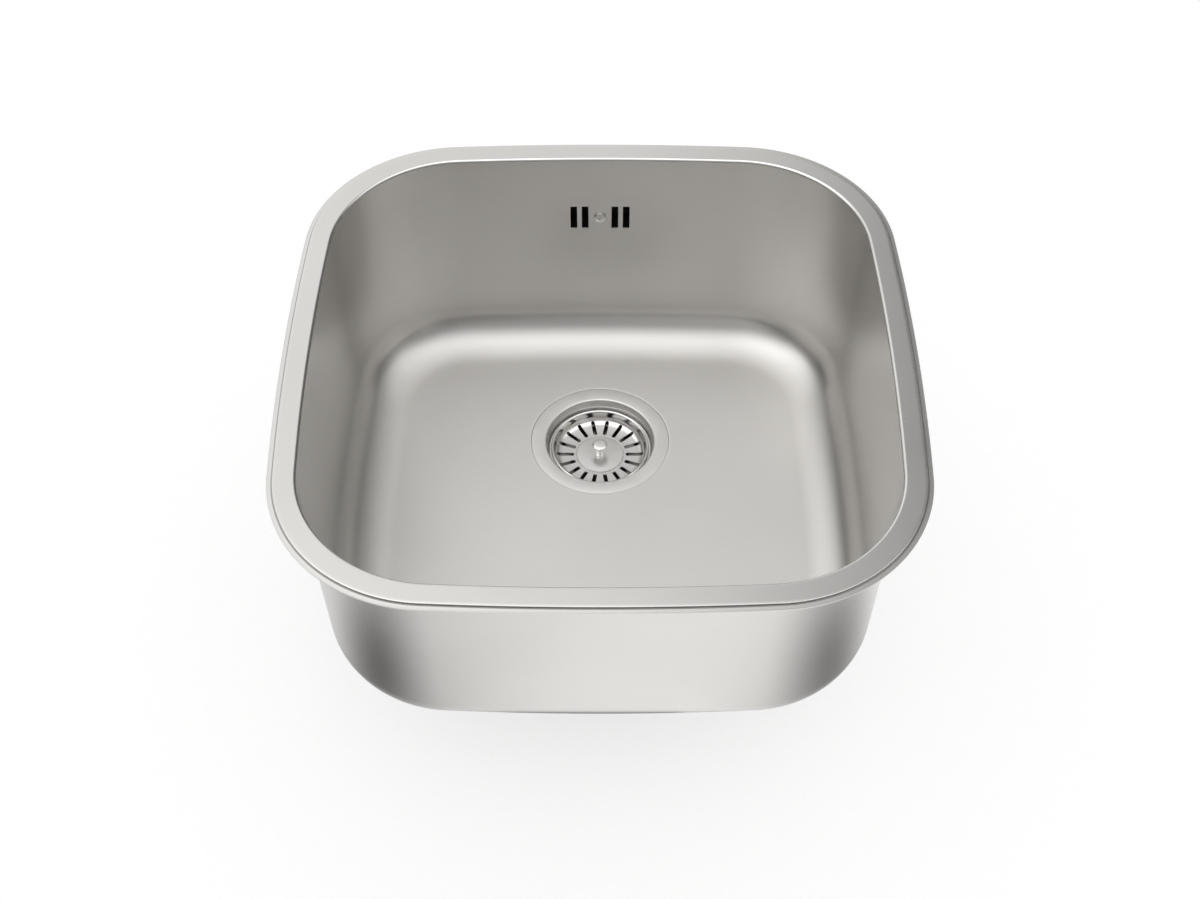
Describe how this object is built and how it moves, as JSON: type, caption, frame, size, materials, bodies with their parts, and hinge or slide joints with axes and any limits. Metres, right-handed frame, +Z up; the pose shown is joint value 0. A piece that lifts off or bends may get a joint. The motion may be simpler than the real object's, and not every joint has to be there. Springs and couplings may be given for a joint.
{
  "type": "undermount kitchen sink",
  "caption": "Deep rounded-square steel undermount bowl with a stepped flat rim, a lift-out basket strainer waste and a slotted overflow piped to the waste.",
  "frame": {"origin": "middle of the bowl's opening, on the top face of the rim, which meets the underside of the worktop", "axes": "+Z up out of the bowl, +Y to the back wall with the overflow, +X to the right seen from the front"},
  "size_m": [0.4554, 0.4714, 0.2656],
  "materials": {
    "bowl_steel": "satin brushed stainless",
    "waste_steel": "fine satin stainless",
    "polished_steel": "polished stainless",
    "seal_rubber": "matt moulded rubber",
    "damping_rubber": "matt damping sheet",
    "waste_plastic": "moulded white polypropylene",
    "housing_plastic": "moulded black polypropylene",
    "nut_plastic": "moulded white polypropylene",
    "hose_plastic": "corrugated grey plastic",
    "brass": "turned brass"
  },
  "bodies": {
    "sink": {"bowl": "bowl_steel", "sound_pad": "damping_rubber", "drain_cup": "waste_steel", "drain_gasket": "seal_rubber", "body_gasket": "seal_rubber", "waste_body": "waste_plastic", "waste_screw": "polished_steel", "screw_insert": "brass", "overflow_housing": "housing_plastic", "overflow_gasket": "seal_rubber", "overflow_insert": "brass", "overflow_screw": "polished_steel", "overflow_hose": "hose_plastic", "lower_hose_nut": "nut_plastic", "upper_hose_nut": "nut_plastic", "lower_hose_seal": "seal_rubber", "upper_hose_seal": "seal_rubber"},
    "plug": {"basket_stem": "polished_steel", "basket_knob": "polished_steel", "basket_washer": "polished_steel", "stopper_seal": "seal_rubber", "stem_nut": "polished_steel", "catch_ring": "polished_steel"},
    "strainer": {"basket": "polished_steel"}
  },
  "joints": [
    {"name": "basket_lift", "type": "slide", "parent": "sink", "child": "plug", "axis": [0, 0, 1], "range_m": [0, 0.25]},
    {"name": "basket_turn", "type": "hinge", "parent": "plug", "child": "strainer", "pos_m": [0, 0.0754, -0.2056], "axis": [0, 0, 1], "continuous": true}
  ]
}
